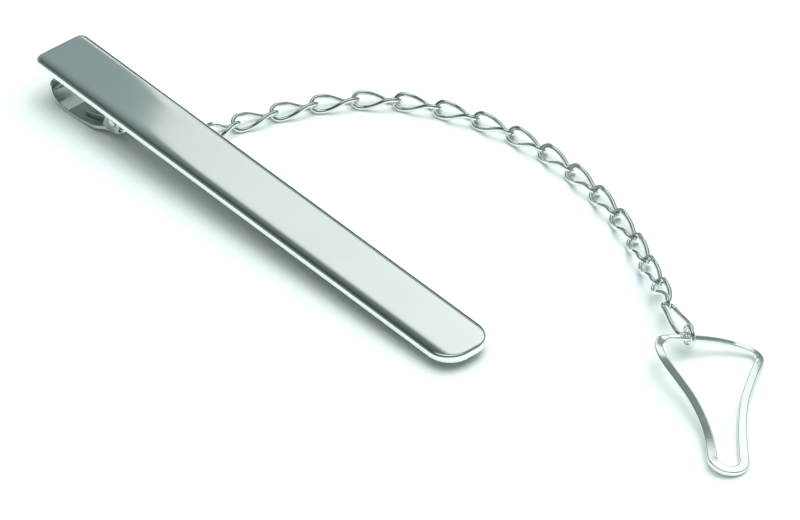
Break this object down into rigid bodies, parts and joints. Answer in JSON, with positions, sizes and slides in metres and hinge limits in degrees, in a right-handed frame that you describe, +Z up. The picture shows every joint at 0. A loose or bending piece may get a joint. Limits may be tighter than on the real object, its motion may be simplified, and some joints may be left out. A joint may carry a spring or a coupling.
{
  "type": "tie bar with safety chain",
  "caption": "Polished metal tie bar with a sprung toothed clip hinged beneath it and a fine safety chain ending in a flat wire loop for a shirt button.",
  "frame": {"origin": "middle of the bounding box in plan, on the table that the object lies on", "axes": "+X along the bar from its square end to its round end, +Y to the chain's side, +Z up from the table"},
  "size_m": [0.0866, 0.0306, 0.0048],
  "materials": {
    "polished_silver": "polished silver-tone plate",
    "clip_metal": "bright plated sheet, less finely polished",
    "chain_metal": "polished silver-tone wire",
    "loop_metal": "polished flat wire with soft edges",
    "spring_steel": "drawn spring wire"
  },
  "bodies": {
    "bar": {"front_bar": "polished_silver", "hinge_bracket": "clip_metal", "hinge_pin": "clip_metal", "torsion_spring": "spring_steel", "chain_lug": "clip_metal"},
    "lever": {"clip_lever": "clip_metal"},
    "ring": {"jump_ring": "chain_metal"},
    "link_01": {"chain_link_01": "chain_metal"},
    "link_02": {"chain_link_02": "chain_metal"},
    "link_03": {"chain_link_03": "chain_metal"},
    "link_04": {"chain_link_04": "chain_metal"},
    "link_05": {"chain_link_05": "chain_metal"},
    "link_06": {"chain_link_06": "chain_metal"},
    "link_07": {"chain_link_07": "chain_metal"},
    "link_08": {"chain_link_08": "chain_metal"},
    "link_09": {"chain_link_09": "chain_metal"},
    "link_10": {"chain_link_10": "chain_metal"},
    "link_11": {"chain_link_11": "chain_metal"},
    "link_12": {"chain_link_12": "chain_metal"},
    "link_13": {"chain_link_13": "chain_metal"},
    "link_14": {"chain_link_14": "chain_metal"},
    "link_15": {"chain_link_15": "chain_metal"},
    "link_16": {"chain_link_16": "chain_metal"},
    "link_17": {"chain_link_17": "chain_metal"},
    "end_ring": {"loop_ring": "chain_metal"},
    "loop": {"button_loop": "loop_metal"}
  },
  "joints": [
    {"name": "clip_hinge", "type": "hinge", "parent": "bar", "child": "lever", "pos_m": [-0.03283, -0.0122, 0.0021], "axis": [0, 1, 0], "range_deg": [0, 6.5], "stiffness_Nm_per_rad": 0.01, "springref_deg": -17.19, "deforming": ["torsion_spring"]},
    {"name": "ring_swing", "type": "hinge", "parent": "bar", "child": "ring", "pos_m": [-0.02675, -0.0094, 0.00099], "axis": [0, 0, 1], "range_deg": [-20, 20]},
    {"name": "link_01_lift", "type": "hinge", "parent": "ring", "child": "link_01", "pos_m": [-0.02675, -0.0085, 0.00099], "axis": [0.9903, -0.1392, 0], "range_deg": [0, 25]},
    {"name": "link_02_swing", "type": "hinge", "parent": "link_01", "child": "link_02", "pos_m": [-0.02619, -0.0045, 0.00074], "axis": [0, 0, 1], "range_deg": [-16, 32]},
    {"name": "link_03_lift", "type": "hinge", "parent": "link_02", "child": "link_03", "pos_m": [-0.02507, -0.0006, 0.00074], "axis": [-0.9272, 0.3746, 0], "range_deg": [-25, 0]},
    {"name": "link_04_swing", "type": "hinge", "parent": "link_03", "child": "link_04", "pos_m": [-0.02355, 0.00315, 0.00074], "axis": [0, 0, -1], "range_deg": [-33, 15]},
    {"name": "link_05_lift", "type": "hinge", "parent": "link_04", "child": "link_05", "pos_m": [-0.02147, 0.00662, 0.00074], "axis": [0.7193, -0.6947, 0], "range_deg": [0, 25]},
    {"name": "link_06_swing", "type": "hinge", "parent": "link_05", "child": "link_06", "pos_m": [-0.01865, 0.00954, 0.00074], "axis": [0, 0, 1], "range_deg": [-9, 39]},
    {"name": "link_07_lift", "type": "hinge", "parent": "link_06", "child": "link_07", "pos_m": [-0.01518, 0.01162, 0.00074], "axis": [-0.3746, 0.9272, 0], "range_deg": [-25, 0]},
    {"name": "link_08_swing", "type": "hinge", "parent": "link_07", "child": "link_08", "pos_m": [-0.01143, 0.01314, 0.00074], "axis": [0, 0, -1], "range_deg": [-33, 15]},
    {"name": "link_09_lift", "type": "hinge", "parent": "link_08", "child": "link_09", "pos_m": [-0.00748, 0.01405, 0.00074], "axis": [0.0872, -0.9962, 0], "range_deg": [0, 25]},
    {"name": "link_10_swing", "type": "hinge", "parent": "link_09", "child": "link_10", "pos_m": [-0.00345, 0.0144, 0.00074], "axis": [0, 0, 1], "range_deg": [-16, 32]},
    {"name": "link_11_lift", "type": "hinge", "parent": "link_10", "child": "link_11", "pos_m": [0.0006, 0.01419, 0.00074], "axis": [0.1564, 0.9877, 0], "range_deg": [-25, 0]},
    {"name": "link_12_swing", "type": "hinge", "parent": "link_11", "child": "link_12", "pos_m": [0.0046, 0.01356, 0.00074], "axis": [0, 0, -1], "range_deg": [-30, 18]},
    {"name": "link_13_lift", "type": "hinge", "parent": "link_12", "child": "link_13", "pos_m": [0.00851, 0.01251, 0.00074], "axis": [-0.342, -0.9397, 0], "range_deg": [0, 25]},
    {"name": "link_14_swing", "type": "hinge", "parent": "link_13", "child": "link_14", "pos_m": [0.01232, 0.01112, 0.00074], "axis": [0, 0, 1], "range_deg": [-16, 32]},
    {"name": "link_15_lift", "type": "hinge", "parent": "link_14", "child": "link_15", "pos_m": [0.01588, 0.00923, 0.00106], "axis": [0.454, 0.891, 0], "range_deg": [-25, 0]},
    {"name": "link_16_swing", "type": "hinge", "parent": "link_15", "child": "link_16", "pos_m": [0.01947, 0.0074, 0.00148], "axis": [0, 0, -1], "range_deg": [-28, 20]},
    {"name": "link_17_lift", "type": "hinge", "parent": "link_16", "child": "link_17", "pos_m": [0.02292, 0.00533, 0.00191], "axis": [-0.342, -0.9397, 0], "range_deg": [0, 25]},
    {"name": "end_ring_swing", "type": "hinge", "parent": "link_17", "child": "end_ring", "pos_m": [0.02672, 0.00394, 0.00177], "axis": [0, 0, 1], "range_deg": [-20, 20]},
    {"name": "loop_lift", "type": "hinge", "parent": "end_ring", "child": "loop", "pos_m": [0.02755, 0.00365, 0.00175], "axis": [-0.5735, -0.7973, 0.1885], "range_deg": [0, 80]}
  ]
}
